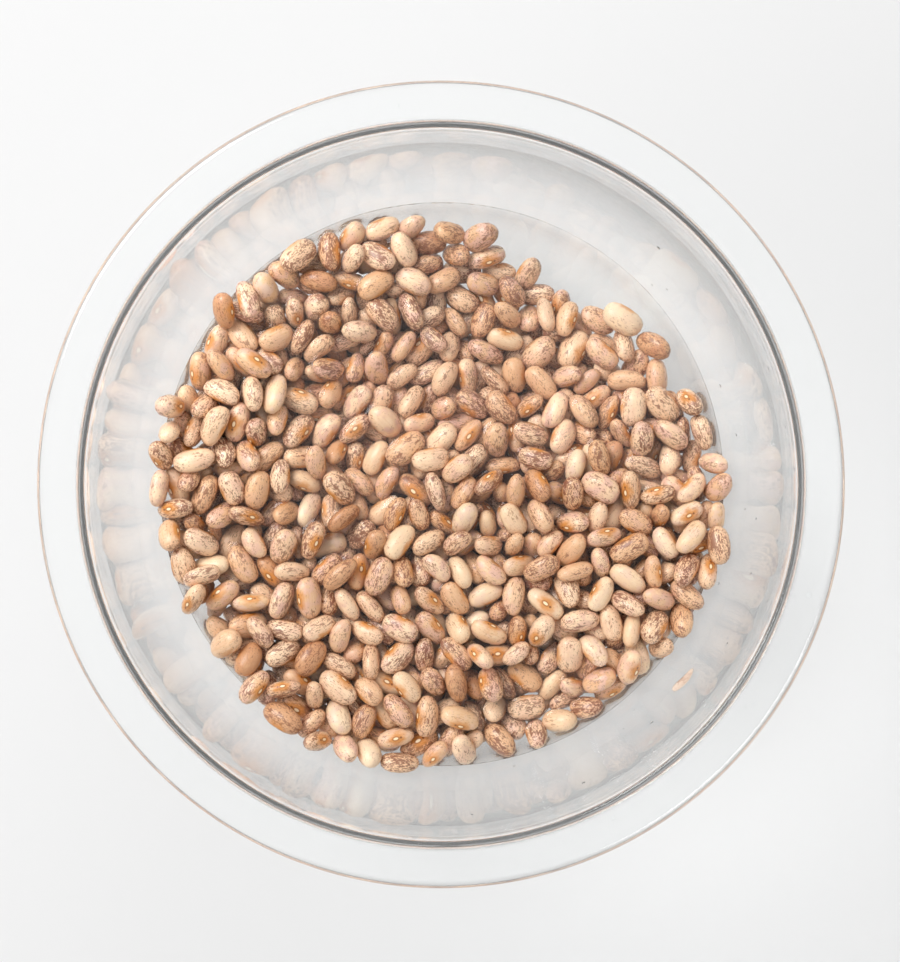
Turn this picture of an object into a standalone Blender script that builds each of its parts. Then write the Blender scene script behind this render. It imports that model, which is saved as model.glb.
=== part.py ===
"""A clear glass mixing bowl with a flat rim, holding a heap of beans in shallow water.

Metres, +Z up. The origin is on the bowl's axis, at the middle of its flat base.
The bowl and its contents are bodies of revolution, except for the heap's uneven top,
which rises in a low mound and dips under the water towards one side.
"""

import math

import bmesh
import bpy
from mathutils import Vector, noise

# The glass bowl
RIM_RADIUS = 0.130
RIM_HEIGHT = 0.110
RIM_THICKNESS = 0.005
CAVITY_RADIUS = 0.1142
WALL = 0.0028
FLOOR_THICKNESS = 0.005
FOOT_RADIUS = 0.045
MOUTH_FILLET = 0.0018
THROAT_FILLET = 0.0016
ROUNDNESS = 2.9  # 2 is an ellipse, and more is squarer

# The water and the beans
WATER_LEVEL = 0.037
GAP = 0.0003
SIDE_GAP = 1.5 * GAP
FILM = 0.0010
MOUND_HEIGHT = 0.0115
MOUND_FULLNESS = 2.4
MOUND_SHIFT = (0.012, -0.008)
DRY_SHARE = 0.93
FLOODED_SHARE = 0.68
FLOODED_SIDE = math.radians(60)
SHORE_DIP = 0.0032
BUMP_HEIGHT = 0.0030
BUMP_WIDTH = 0.012

# How finely the round pieces are divided
SEGMENTS = 64
CAVITY_STEPS = 13
OUTSIDE_STEPS = 12
STEP_SPREAD = 1.3  # more than 1 puts more of the steps near the floor
FILLET_STEPS = 3
EDGE_STEPS = 6
MOUND_RINGS = 8
DROWNED_RINGS = 3

CAVITY_TOP = RIM_HEIGHT - MOUTH_FILLET
OUTSIDE_RADIUS = CAVITY_RADIUS + WALL
FOOT_SHARE = (FOOT_RADIUS / OUTSIDE_RADIUS) ** ROUNDNESS
OUTSIDE_DEPTH = CAVITY_TOP / (1 - FOOT_SHARE) ** (1 / ROUNDNESS)


def clear_scene():
    """Empty the scene, so that only this part is in it."""
    for thing in list(bpy.data.objects):
        bpy.data.objects.remove(thing, do_unlink=True)


def material(name, colour, roughness, alpha=1.0):
    """A plain Principled material."""
    made = bpy.data.materials.new(name)
    made.use_nodes = True
    shader = made.node_tree.nodes["Principled BSDF"]
    shader.inputs["Base Color"].default_value = (*colour, 1.0)
    shader.inputs["Roughness"].default_value = roughness
    shader.inputs["Metallic"].default_value = 0.0
    shader.inputs["Alpha"].default_value = alpha
    return made


def wall_point(share, radius, top, depth):
    """A point (r, z) of a rounded bowl curve, from its floor at 0 to its upright top at 1."""
    angle = share**STEP_SPREAD * math.pi / 2
    power = 2 / ROUNDNESS
    return radius * math.sin(angle) ** power, top - depth * math.cos(angle) ** power


def wall_normal(point, radius, top, depth):
    """The unit direction (r, z) away from the bowl's middle at a point of its curve."""
    across = (point[0] / radius) ** (ROUNDNESS - 1) / radius
    down = (max(top - point[1], 0.0) / depth) ** (ROUNDNESS - 1) / depth
    length = math.hypot(across, down)
    return across / length, -down / length


def cavity_radius(height):
    """The inner radius of the bowl at a height."""
    drop = (CAVITY_TOP - height) / (CAVITY_TOP - FLOOR_THICKNESS)
    return CAVITY_RADIUS * (1 - drop**ROUNDNESS) ** (1 / ROUNDNESS)


def cavity_point(share, inset=0.0):
    """A point (r, z) of the inner wall, moved into the cavity by inset."""
    depth = CAVITY_TOP - FLOOR_THICKNESS
    point = wall_point(share, CAVITY_RADIUS, CAVITY_TOP, depth)
    away = wall_normal(point, CAVITY_RADIUS, CAVITY_TOP, depth)
    return max(point[0] - inset * away[0], 0.0), point[1] - inset * away[1]


def arc(centre, radius, start, end, steps):
    """Points (r, z) along an arc, from one angle in degrees to another, both ends included."""
    points = []
    for step in range(steps + 1):
        angle = math.radians(start + (end - start) * step / steps)
        points.append((centre[0] + radius * math.cos(angle), centre[1] + radius * math.sin(angle)))
    return points


def bowl_profile():
    """The glass in section: up the inner wall, over the flat rim and down the outside."""
    inside = [cavity_point(step / CAVITY_STEPS) for step in range(CAVITY_STEPS)]
    mouth = arc((CAVITY_RADIUS + MOUTH_FILLET, CAVITY_TOP), MOUTH_FILLET, 180, 90, FILLET_STEPS)
    half = RIM_THICKNESS / 2
    edge = arc((RIM_RADIUS - half, RIM_HEIGHT - half), half, 90, -90, EDGE_STEPS)
    under = RIM_HEIGHT - RIM_THICKNESS - THROAT_FILLET
    throat = arc((OUTSIDE_RADIUS + THROAT_FILLET, under), THROAT_FILLET, 90, 180, FILLET_STEPS)
    outside = []
    for step in range(OUTSIDE_STEPS - 1, 0, -1):
        point = wall_point(step / OUTSIDE_STEPS, OUTSIDE_RADIUS, CAVITY_TOP, OUTSIDE_DEPTH)
        if 0.0 < point[1] < under and point[0] > FOOT_RADIUS:
            outside.append(point)
    base = [(FOOT_RADIUS, 0.0), (0.0, 0.0)]
    return inside + mouth + edge + throat + outside + base


def add_ring(bm, points):
    """One vertex for each point, or a single one where the points are all the same."""
    if max(math.dist(points[0], point) for point in points) < GAP / 10:
        return [bm.verts.new(points[0])]
    return [bm.verts.new(point) for point in points]


def join_rings(bm, upper, lower):
    """Faces between two rings, or a fan where one of them is a single vertex."""
    for step in range(SEGMENTS):
        after = (step + 1) % SEGMENTS
        if len(upper) == 1:
            bm.faces.new((upper[0], lower[step], lower[after]))
        elif len(lower) == 1:
            bm.faces.new((upper[step], lower[0], upper[after]))
        else:
            bm.faces.new((upper[step], lower[step], lower[after], upper[after]))


def add_body(name, rings, finish, sharp_angle, looped=False):
    """An object whose skin runs through the rings, in order, around the +Z axis."""
    bm = bmesh.new()
    made = [add_ring(bm, ring) for ring in rings]
    for upper, lower in zip(made, made[1:]):
        join_rings(bm, upper, lower)
    if looped:
        join_rings(bm, made[-1], made[0])
    bmesh.ops.recalc_face_normals(bm, faces=bm.faces)
    mesh = bpy.data.meshes.new(name)
    bm.to_mesh(mesh)
    bm.free()
    mesh.shade_smooth()
    mesh.set_sharp_from_angle(angle=math.radians(sharp_angle))
    mesh.materials.append(finish)
    body = bpy.data.objects.new(name, mesh)
    bpy.context.scene.collection.objects.link(body)
    return body


def turned(point):
    """The ring that a point (r, z) draws around the axis."""
    ring = []
    for step in range(SEGMENTS):
        angle = 2 * math.pi * step / SEGMENTS
        ring.append((point[0] * math.cos(angle), point[0] * math.sin(angle), point[1]))
    return ring


def shore_radius(angle):
    """How far from the axis the mound comes out of the water, in one direction."""
    flooded = (1 + math.cos(angle - FLOODED_SIDE)) / 2
    share = DRY_SHARE + (FLOODED_SHARE - DRY_SHARE) * flooded
    return share * cavity_radius(WATER_LEVEL)


def edge_point(angle):
    """Where the heap's drowned top meets the wall, in one direction, as (r, z)."""
    flooded = (1 + math.cos(angle - FLOODED_SIDE)) / 2
    height = WATER_LEVEL - FILM - GAP - SHORE_DIP * (1 + flooded) / 2
    return cavity_radius(height) - SIDE_GAP, height


def bump(x, y):
    """How far a point of the heap's top is lifted or sunk by the beans there, from -1 to 1."""
    return noise.noise(Vector((x, y, 0.0)) / BUMP_WIDTH)


def mound_rings():
    """The dry part of the heap's top, from its peak out to the shore."""
    shore_height = WATER_LEVEL - FILM - GAP
    rings = [[(*MOUND_SHIFT, shore_height + MOUND_HEIGHT)] * SEGMENTS]
    for step in range(1, MOUND_RINGS + 1):
        share = step / MOUND_RINGS
        ring = []
        for turn in range(SEGMENTS):
            angle = 2 * math.pi * turn / SEGMENTS
            radius = shore_radius(angle) * share
            x = radius * math.cos(angle) + MOUND_SHIFT[0] * (1 - share)
            y = radius * math.sin(angle) + MOUND_SHIFT[1] * (1 - share)
            fullness = 1 - share**MOUND_FULLNESS
            lift = MOUND_HEIGHT * fullness + BUMP_HEIGHT * bump(x, y) * min(1.0, 3 * fullness)
            ring.append((x, y, shore_height + lift))
        rings.append(ring)
    return rings


def drowned_rings():
    """The drowned part of the heap's top, from just past the shore out to the wall."""
    shore_height = WATER_LEVEL - FILM - GAP
    rings = []
    for step in range(1, DROWNED_RINGS + 1):
        share = step / DROWNED_RINGS
        ring = []
        for turn in range(SEGMENTS):
            angle = 2 * math.pi * turn / SEGMENTS
            near = shore_radius(angle)
            far, low = edge_point(angle)
            radius = near + (far - near) * share
            x = radius * math.cos(angle)
            y = radius * math.sin(angle)
            sink = BUMP_HEIGHT * abs(bump(x, y)) if step < DROWNED_RINGS else 0.0
            ring.append((x, y, shore_height + (low - shore_height) * share - sink))
        rings.append(ring)
    return rings


def bean_heap(mound, drowned, finish):
    """The heap as one solid, resting in the cavity: a rough mound with a drowned side."""
    lowest_edge = min(height for _, _, height in drowned[-1])
    under = []
    for step in range(CAVITY_STEPS, -1, -1):
        point = cavity_point(step / CAVITY_STEPS, GAP)
        if point[1] < lowest_edge - 2 * GAP:
            under.append(turned(point))
    return add_body("bean_heap", mound + drowned + under, finish, 50)


def water(shore, drowned, finish):
    """The water that shows: flat on top, over the heap's drowned side, out to the wall."""
    under = [[(x, y, height + GAP) for x, y, height in ring] for ring in [shore] + drowned]
    surface_rim = turned((cavity_radius(WATER_LEVEL) - SIDE_GAP, WATER_LEVEL))
    surface_shore = [(x, y, WATER_LEVEL) for x, y, _ in shore]
    return add_body("water", under + [surface_rim, surface_shore], finish, 30, looped=True)


def glass_bowl(finish):
    """The bowl, turned from its section."""
    rings = [turned(point) for point in bowl_profile()]
    return add_body("glass_bowl", rings, finish, 40)


def main():
    """Build the bowl and what is in it."""
    clear_scene()
    mound = mound_rings()
    drowned = drowned_rings()
    glass_bowl(material("clear_glass", (0.86, 0.90, 0.90), 0.03, 0.35))
    bean_heap(mound, drowned, material("bean_skins", (0.55, 0.38, 0.28), 0.35))
    water(mound[-1], drowned, material("clear_water", (0.80, 0.84, 0.85), 0.03, 0.35))


main()
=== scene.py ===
"""A clear glass bowl of speckled beans, soaking in shallow water.

The bowl and the pool are turned about the bowl's axis. The beans are laid in the bowl one by
one: they start loose, sink along a gentle mound, and push each other apart until they rest.
The water is then drawn level between them and climbs a little wherever it meets them.
Metres, +Z up.
"""

import logging
import math
from dataclasses import dataclass, field
from enum import Enum

import bpy
import numpy as np
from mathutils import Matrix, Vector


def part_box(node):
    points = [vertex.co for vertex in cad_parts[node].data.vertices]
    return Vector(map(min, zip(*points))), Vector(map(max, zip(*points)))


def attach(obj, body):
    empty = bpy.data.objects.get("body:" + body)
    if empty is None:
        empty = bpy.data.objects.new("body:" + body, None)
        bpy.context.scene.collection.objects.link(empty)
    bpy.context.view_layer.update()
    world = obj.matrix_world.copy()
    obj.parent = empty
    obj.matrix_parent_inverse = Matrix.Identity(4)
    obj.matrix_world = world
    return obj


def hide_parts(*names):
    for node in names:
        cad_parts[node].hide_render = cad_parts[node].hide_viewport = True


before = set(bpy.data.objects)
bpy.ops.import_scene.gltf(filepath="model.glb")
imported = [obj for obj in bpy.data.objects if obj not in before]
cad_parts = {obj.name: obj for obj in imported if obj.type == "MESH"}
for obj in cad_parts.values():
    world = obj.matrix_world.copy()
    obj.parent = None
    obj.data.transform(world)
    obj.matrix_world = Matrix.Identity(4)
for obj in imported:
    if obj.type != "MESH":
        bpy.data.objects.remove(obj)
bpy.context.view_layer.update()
BODY = "root"
RIM_WIDTH = 0.0158  # from the inner wall to the outer edge
RESTING_GAP = 0.0003  # between the frame's heap and its bowl
log = logging.getLogger("bean_bowl")


# ---------------------------------------------------------------- helpers for node trees


class Sketch:
    """A short way to add and link the nodes of one tree."""

    def __init__(self, tree: bpy.types.NodeTree) -> None:
        """Keep the node tree that the nodes go into."""
        self.tree = tree

    def add(self, kind: str, sockets: dict | None = None, **settings) -> bpy.types.Node:
        """Add a node.

        Args:
            kind: the node's type.
            sockets: what each input, by name or place, is set to or linked from.
            settings: the node's own settings.

        Returns:
            The new node.
        """
        node = self.tree.nodes.new(kind)
        for name, value in settings.items():
            setattr(node, name, value)
        for key, value in (sockets or {}).items():
            self.feed(node.inputs[key], value)
        return node

    def feed(self, socket: bpy.types.NodeSocket, value: object) -> None:
        """Link a socket from a node or a socket, or set it to a plain value.

        Args:
            socket: the input.
            value: a node, whose first shown output is used, an output socket or a value.
        """
        if isinstance(value, bpy.types.Node):
            value = next(out for out in value.outputs if out.enabled)
        if isinstance(value, bpy.types.NodeSocket):
            self.tree.links.new(value, socket)
        else:
            socket.default_value = value

    def math(self, operation: str, *values: object, clamp: bool = False) -> bpy.types.Node:
        """Add a Math node with its inputs in order."""
        sockets = dict(enumerate(values))
        return self.add("ShaderNodeMath", sockets, operation=operation, use_clamp=clamp)

    def vector(self, operation: str, *values: object) -> bpy.types.Node:
        """Add a Vector Math node with its inputs in order."""
        return self.add("ShaderNodeVectorMath", dict(enumerate(values)), operation=operation)

    def ramp(self, value: object, low: object, high: object) -> bpy.types.Node:
        """Add a soft step from 0, where the value is low, to 1, where it is high."""
        sockets = {"Value": value, "From Min": low, "From Max": high}
        return self.add("ShaderNodeMapRange", sockets, interpolation_type="SMOOTHSTEP")

    def mix(self, share: object, first: object, second: object) -> bpy.types.NodeSocket:
        """Mix two colours.

        Args:
            share: how much of the second colour.
            first: the colour at 0.
            second: the colour at 1.

        Returns:
            The mixed colour's socket.
        """
        node = self.add("ShaderNodeMix", data_type="RGBA")
        self.feed(node.inputs[0], share)
        self.feed(node.inputs[6], first)
        self.feed(node.inputs[7], second)
        return node.outputs[2]

    def end(
        self, result: bpy.types.Node, geometry: object, finish: object, spent: tuple[str, ...] = ()
    ) -> bpy.types.NodeTree:
        """End a geometry tree: real, smooth, dressed, and without the values that it used up.

        Args:
            result: the tree's output node.
            geometry: what has been made.
            finish: the material's socket.
            spent: the points' own values that aren't kept.

        Returns:
            The tree.
        """
        real = self.add("GeometryNodeRealizeInstances", {0: geometry})
        smooth = self.add("GeometryNodeSetShadeSmooth", {"Geometry": real})
        dressed = self.add("GeometryNodeSetMaterial", {"Geometry": smooth, "Material": finish})
        for name in spent:
            dressed = self.add("GeometryNodeRemoveAttribute", {"Geometry": dressed, "Name": name})
        self.feed(result.inputs[0], dressed)
        return self.tree


def shader_tree(name: str) -> tuple[bpy.types.Material, Sketch]:
    """An empty node material.

    Args:
        name: the material's name.

    Returns:
        The material and a sketch of its tree.
    """
    material = bpy.data.materials.new(name)
    material.use_nodes = True
    material.node_tree.nodes.clear()
    return material, Sketch(material.node_tree)


def colour(red: float, green: float, blue: float) -> tuple[float, float, float, float]:
    """A colour as it looks on a screen, from 0 to 255, turned into the linear light nodes use.

    Args:
        red: how red it is.
        green: how green it is.
        blue: how blue it is.

    Returns:
        The linear colour with full alpha.
    """
    shares = [c / 255 for c in (red, green, blue)]
    linear = [c / 12.92 if c <= 0.04045 else ((c + 0.055) / 1.055) ** 2.4 for c in shares]
    return (*linear, 1.0)


def mesh_object(
    name: str, points: np.ndarray, faces: list, edges: list | None = None
) -> bpy.types.Object:
    """An object made from points and faces, smooth all over.

    Args:
        name: the object's name.
        points: the corners, in metres.
        faces: the corners of each face.
        edges: loose edges, for a mesh with no faces.

    Returns:
        The object, linked to the scene.
    """
    mesh = bpy.data.meshes.new(name)
    mesh.from_pydata([tuple(p) for p in points], edges or [], faces)
    mesh.validate()
    mesh.shade_smooth()
    thing = bpy.data.objects.new(name, mesh)
    bpy.context.scene.collection.objects.link(thing)
    return thing


def give_values(mesh: bpy.types.Mesh, name: str, kind: str, values: object) -> None:
    """Give each point of a mesh a value of its own.

    Args:
        mesh: the mesh.
        name: what the value is called.
        kind: the attribute's type.
        values: the values, one a point.
    """
    key = "vector" if kind == "FLOAT_VECTOR" else "value"
    rows = np.asarray(values, dtype=np.int32 if kind == "INT" else np.float32)
    mesh.attributes.new(name, kind, "POINT").data.foreach_set(key, rows.ravel())


def bake_tree(
    name: str, source: bpy.types.Object, tree: bpy.types.NodeTree, values: dict
) -> bpy.types.Object:
    """Run a Geometry Nodes tree on an object and keep the result as a plain mesh.

    Args:
        name: the new object's name.
        source: the object that the tree works on. It is removed afterwards.
        tree: the Geometry Nodes tree.
        values: what each named input is set to.

    Returns:
        The new object, with no modifier.
    """
    modifier = source.modifiers.new("shape", "NODES")
    modifier.node_group = tree
    for item in tree.interface.items_tree:
        if item.in_out == "INPUT" and item.name in values:
            modifier[item.identifier] = values[item.name]
    graph = bpy.context.evaluated_depsgraph_get()
    mesh = bpy.data.meshes.new_from_object(source.evaluated_get(graph), depsgraph=graph)
    mesh.name = name
    bpy.data.objects.remove(source, do_unlink=True)
    thing = bpy.data.objects.new(name, mesh)
    bpy.context.scene.collection.objects.link(thing)
    return thing


def geometry_tree(
    name: str, inputs: dict[str, str]
) -> tuple[Sketch, bpy.types.Node, bpy.types.Node]:
    """An empty Geometry Nodes tree.

    Args:
        name: the tree's name.
        inputs: the named inputs besides the geometry, and the kind of socket each one is.

    Returns:
        A sketch of the tree, its input node and its output node.
    """
    tree = bpy.data.node_groups.new(name, "GeometryNodeTree")
    tree.interface.new_socket("Geometry", in_out="INPUT", socket_type="NodeSocketGeometry")
    for label, kind in inputs.items():
        tree.interface.new_socket(label, in_out="INPUT", socket_type=kind)
    tree.interface.new_socket("Geometry", in_out="OUTPUT", socket_type="NodeSocketGeometry")
    sketch = Sketch(tree)
    return sketch, sketch.add("NodeGroupInput"), sketch.add("NodeGroupOutput")


def hand_over(piece: bpy.types.Object, slot: str, *nodes: str) -> None:
    """Fix a finished piece to the root body, hide the frame's nodes that it stands for, and report its
    triangles.

    Args:
        piece: the finished piece.
        slot: a material slot's name; not used.
        nodes: the frame's nodes that it stands for.
    """
    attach(piece, BODY)
    if nodes:
        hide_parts(*nodes)
    piece.data.calc_loop_triangles()
    log.info("%s: %d triangles", piece.name, len(piece.data.loop_triangles))


# ---------------------------------------------------------------- finishes


@dataclass(frozen=True)
class ClearBody:
    """A clear, smooth material that lamps shine through, such as glass or water."""

    name: str
    bend: float
    tint: tuple
    shade: tuple
    clearness: float
    ripple: float
    ripple_size: float

    def material(self) -> bpy.types.Material:
        """Build the material.

        Returns:
            The material.
        """
        material, s = shader_tree(self.name)
        place = s.add("ShaderNodeTexCoord").outputs["Object"]
        noise = {"Vector": place, "Scale": 1 / self.ripple_size, "Detail": 2.0}
        waves = s.add("ShaderNodeTexNoise", noise)
        bump = s.add("ShaderNodeBump", {"Height": waves, "Strength": 1.0, "Distance": self.ripple})
        sockets = {
            "Base Color": self.tint,
            "Roughness": 0.0,
            "IOR": self.bend,
            "Transmission Weight": self.clearness,
            "Normal": bump,
        }
        body = s.add("ShaderNodeBsdfPrincipled", sockets)
        through = s.add("ShaderNodeBsdfTransparent", {"Color": self.shade})
        path = s.add("ShaderNodeLightPath")
        mixed = s.add("ShaderNodeMixShader", {0: path.outputs["Is Shadow Ray"], 1: body, 2: through})
        s.add("ShaderNodeOutputMaterial", {"Surface": mixed})
        return material


CLEAR_GLASS = ClearBody(
    name="clear_glass",
    bend=1.5,
    tint=colour(254, 255, 255),
    shade=colour(253, 254, 254),
    clearness=0.955,
    ripple=0.00008,
    ripple_size=0.03,
)
STILL_WATER = ClearBody(
    name="still_water",
    bend=1.333,
    tint=colour(254, 255, 255),
    shade=colour(254, 254, 254),
    clearness=0.985,
    ripple=0.00002,
    ripple_size=0.012,
)


@dataclass(frozen=True)
class BeanSkin:
    """A wet bean's skin: a pale ground, brown flecks along its length and an amber eye."""

    name: str
    pale: tuple
    deep: tuple
    blush: tuple
    fleck: tuple
    fleck_share: float
    eye_glow: tuple = colour(212, 136, 54)
    eye_ring: tuple = colour(150, 86, 40)
    eye_spot: tuple = colour(248, 226, 188)
    eye_dot: tuple = colour(112, 58, 34)
    half_size: tuple[float, float, float] = (6.8, 4.4, 3.4)

    def material(self) -> bpy.types.Material:
        """Build the material from each bean's own attributes.

        Returns:
            The material.
        """
        material, s = shader_tree(self.name)
        at = s.add("ShaderNodeAttribute", attribute_name="bean_at").outputs["Vector"]
        seed = s.add("ShaderNodeAttribute", attribute_name="bean_seed").outputs["Vector"]
        mix = s.add("ShaderNodeAttribute", attribute_name="bean_mix").outputs["Vector"]
        tone, flecks, warmth = s.add("ShaderNodeSeparateXYZ", {0: mix}).outputs[:3]
        ground = self.ground(s, at, seed, tone, warmth)
        marked = self.flecked(s, at, seed, flecks, ground)
        seen = self.with_eye(s, at, seed, marked)
        millimetres = s.vector("MULTIPLY", at, self.half_size)
        place = s.vector("ADD", millimetres, seed)
        grain = s.add("ShaderNodeTexNoise", {"Vector": place, "Scale": 1.1, "Detail": 3.0})
        bump = s.add("ShaderNodeBump", {"Height": grain, "Strength": 0.6, "Distance": 0.00016})
        rough = s.add("ShaderNodeMapRange", {"Value": grain, "To Min": 0.30, "To Max": 0.55})
        sockets = {
            "Base Color": seen,
            "Roughness": rough,
            "Normal": bump,
            "IOR": 1.45,
            "Coat Weight": 0.6,
            "Coat Roughness": 0.2,
            "Coat IOR": 1.36,
        }
        body = s.add("ShaderNodeBsdfPrincipled", sockets)
        s.add("ShaderNodeOutputMaterial", {"Surface": body})
        return material

    def ground(self, s: Sketch, at: object, seed: object, tone: object, warmth: object) -> object:
        """The skin's own colour, paler or deeper from bean to bean and clouded within one.

        Args:
            s: the sketch of the material's tree.
            at: the place on the bean, from -1 to 1 each way.
            seed: the bean's own offset.
            tone: how deep the bean's colour is.
            warmth: how much blush it has.

        Returns:
            The colour's socket.
        """
        place = s.vector("ADD", s.vector("MULTIPLY", at, (1.6, 1.1, 0.9)), seed)
        cloud = s.add("ShaderNodeTexNoise", {"Vector": place, "Scale": 1.1, "Detail": 2.0})
        along = s.vector("ADD", s.vector("MULTIPLY", at, (0.9, 7.5, 5.8)), seed)
        veins = s.add("ShaderNodeTexNoise", {"Vector": along, "Scale": 1.0, "Detail": 2.0})
        drift = s.math("MULTIPLY_ADD", cloud, 0.9, s.math("MULTIPLY_ADD", veins, 0.9, -0.9))
        depth = s.math("ADD", tone, drift, clamp=True)
        skin = s.mix(depth, self.pale, self.deep)
        flush = s.math("MULTIPLY", warmth, s.ramp(cloud, 0.42, 0.62), clamp=True)
        return s.mix(flush, skin, self.blush)

    def flecked(self, s: Sketch, at: object, seed: object, flecks: object, ground: object) -> object:
        """Brown flecks and short streaks that run along the bean.

        Args:
            s: the sketch of the material's tree.
            at: the place on the bean.
            seed: the bean's own offset.
            flecks: how many flecks the bean has.
            ground: the colour between the flecks.

        Returns:
            The colour's socket.
        """
        place = s.vector("ADD", s.vector("MULTIPLY", at, (2.9, 4.4, 3.4)), seed)
        coarse = {"Vector": place, "Scale": 1.15, "Detail": 3.0, "Roughness": 0.62, "Distortion": 0.6}
        fine = {"Vector": place, "Scale": 2.6, "Detail": 1.5, "Roughness": 0.6, "Distortion": 0.3}
        patch = {"Vector": place, "Scale": 0.28, "Detail": 1.0}
        coarse_noise = s.add("ShaderNodeTexNoise", coarse)
        fine_noise = s.add("ShaderNodeTexNoise", fine)
        patch_noise = s.add("ShaderNodeTexNoise", patch)
        share = s.math("MULTIPLY", s.math("MULTIPLY_ADD", flecks, 0.7, 0.3), self.fleck_share)
        ease = s.math("MULTIPLY_ADD", patch_noise, 0.34, s.math("MULTIPLY", share, 0.15))
        low = s.math("SUBTRACT", 0.82, ease)
        streaks = s.ramp(coarse_noise, low, s.math("ADD", low, 0.06))
        fine_low = s.math("SUBTRACT", 0.83, ease)
        dots = s.ramp(fine_noise, fine_low, s.math("ADD", fine_low, 0.05))
        marks = s.math("MAXIMUM", streaks, s.math("MULTIPLY", dots, 0.85))
        amount = s.math("MULTIPLY", marks, s.math("MULTIPLY_ADD", share, 0.40, 0.50), clamp=True)
        return s.mix(amount, ground, self.fleck)

    def with_eye(self, s: Sketch, at: object, seed: object, skin: object) -> object:
        """The eye on the bean's inner side: a pale spot in a dark ring, in an amber glow.

        Args:
            s: the sketch of the material's tree.
            at: the place on the bean.
            seed: the bean's own offset.
            skin: the colour round it.

        Returns:
            The colour's socket.
        """
        x, y, z = s.add("ShaderNodeSeparateXYZ", {0: at}).outputs[:3]
        outside = s.math("MULTIPLY", s.math("MAXIMUM", s.math("ADD", y, 0.1), 0.0), 40.0)

        def reach(shift: float, length: float, width: float) -> bpy.types.Node:
            """How far out a point is, where 1 is the edge of an oval on the eye's side."""
            along = s.math("MULTIPLY_ADD", x, self.half_size[0] / length, -shift / length)
            across = s.math("MULTIPLY", z, self.half_size[2] / width)
            square = s.math("MULTIPLY_ADD", along, along, s.math("MULTIPLY", across, across))
            return s.math("ADD", s.math("SQRT", square), outside)

        own_place = s.vector("ADD", at, seed)
        flutter = s.add("ShaderNodeTexNoise", {"Vector": own_place, "Scale": 2.5})
        uneven = s.math("MULTIPLY_ADD", flutter, 1.4, -0.7)
        wavy = s.math("ADD", reach(0.4, 2.9, 1.8), uneven)
        glow = s.math("SUBTRACT", 1.0, s.ramp(wavy, 0.5, 1.7))
        ring = s.math("SUBTRACT", 1.0, s.ramp(reach(0.0, 1.35, 0.80), 0.85, 1.25))
        spot = s.math("SUBTRACT", 1.0, s.ramp(reach(0.0, 0.95, 0.46), 0.75, 1.1))
        dot = s.math("SUBTRACT", 1.0, s.ramp(reach(1.9, 0.45, 0.40), 0.6, 1.2))
        lit = s.mix(s.math("MULTIPLY", glow, 0.88), skin, self.eye_glow)
        ringed = s.mix(s.math("MULTIPLY", ring, 0.62), lit, self.eye_ring)
        dotted = s.mix(s.math("MULTIPLY", dot, 0.8), ringed, self.eye_dot)
        return s.mix(spot, dotted, self.eye_spot)


SHED_SKIN = BeanSkin(
    "shed_skin",
    pale=colour(232, 215, 200),
    deep=colour(204, 178, 158),
    blush=colour(222, 202, 188),
    fleck=colour(176, 136, 112),
    fleck_share=0.3,
)


class BeanKind(Enum):
    """The kinds of bean in the heap, with their share of it and their skin."""

    SPECKLED = (
        "speckled_beans",
        0.83,
        BeanSkin(
            "speckled_skin",
            pale=colour(247, 213, 178),
            deep=colour(222, 173, 129),
            blush=colour(228, 184, 162),
            fleck=colour(126, 70, 48),
            fleck_share=1.0,
        ),
    )
    CREAM = (
        "cream_beans",
        0.12,
        BeanSkin(
            "cream_skin",
            pale=colour(245, 217, 182),
            deep=colour(231, 189, 146),
            blush=colour(234, 200, 176),
            fleck=colour(164, 114, 84),
            fleck_share=0.35,
        ),
    )
    AMBER = (
        "amber_beans",
        0.05,
        BeanSkin(
            "amber_skin",
            pale=colour(222, 174, 132),
            deep=colour(198, 142, 100),
            blush=colour(204, 148, 112),
            fleck=colour(126, 72, 46),
            fleck_share=0.8,
        ),
    )

    def __init__(self, label: str, share: float, skin: BeanSkin) -> None:
        """Keep the kind's facts.

        Args:
            label: the piece's name.
            share: the kind's share of the heap.
            skin: the kind's finish.
        """
        self.label = label
        self.share = share
        self.skin = skin


@dataclass(frozen=True)
class HeapShade:
    """The dim, mottled inside of the heap, seen only through gaps."""

    name: str = "heap_shade"
    light: tuple = colour(150, 106, 78)
    dark: tuple = colour(78, 48, 34)

    def material(self) -> bpy.types.Material:
        """Build the material.

        Returns:
            The material.
        """
        material, s = shader_tree(self.name)
        place = s.add("ShaderNodeTexCoord").outputs["Object"]
        cells = s.add("ShaderNodeTexVoronoi", {"Vector": place, "Scale": 105.0})
        depth = s.ramp(cells, 0.1, 0.75)
        relief = {"Height": cells, "Strength": 1.0, "Distance": 0.002, "Filter Width": 0.1}
        bump = s.add("ShaderNodeBump", relief, invert=True)
        shade = s.mix(depth, self.light, self.dark)
        sockets = {"Base Color": shade, "Roughness": 0.5, "Normal": bump}
        body = s.add("ShaderNodeBsdfPrincipled", sockets)
        s.add("ShaderNodeOutputMaterial", {"Surface": body})
        return material


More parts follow.
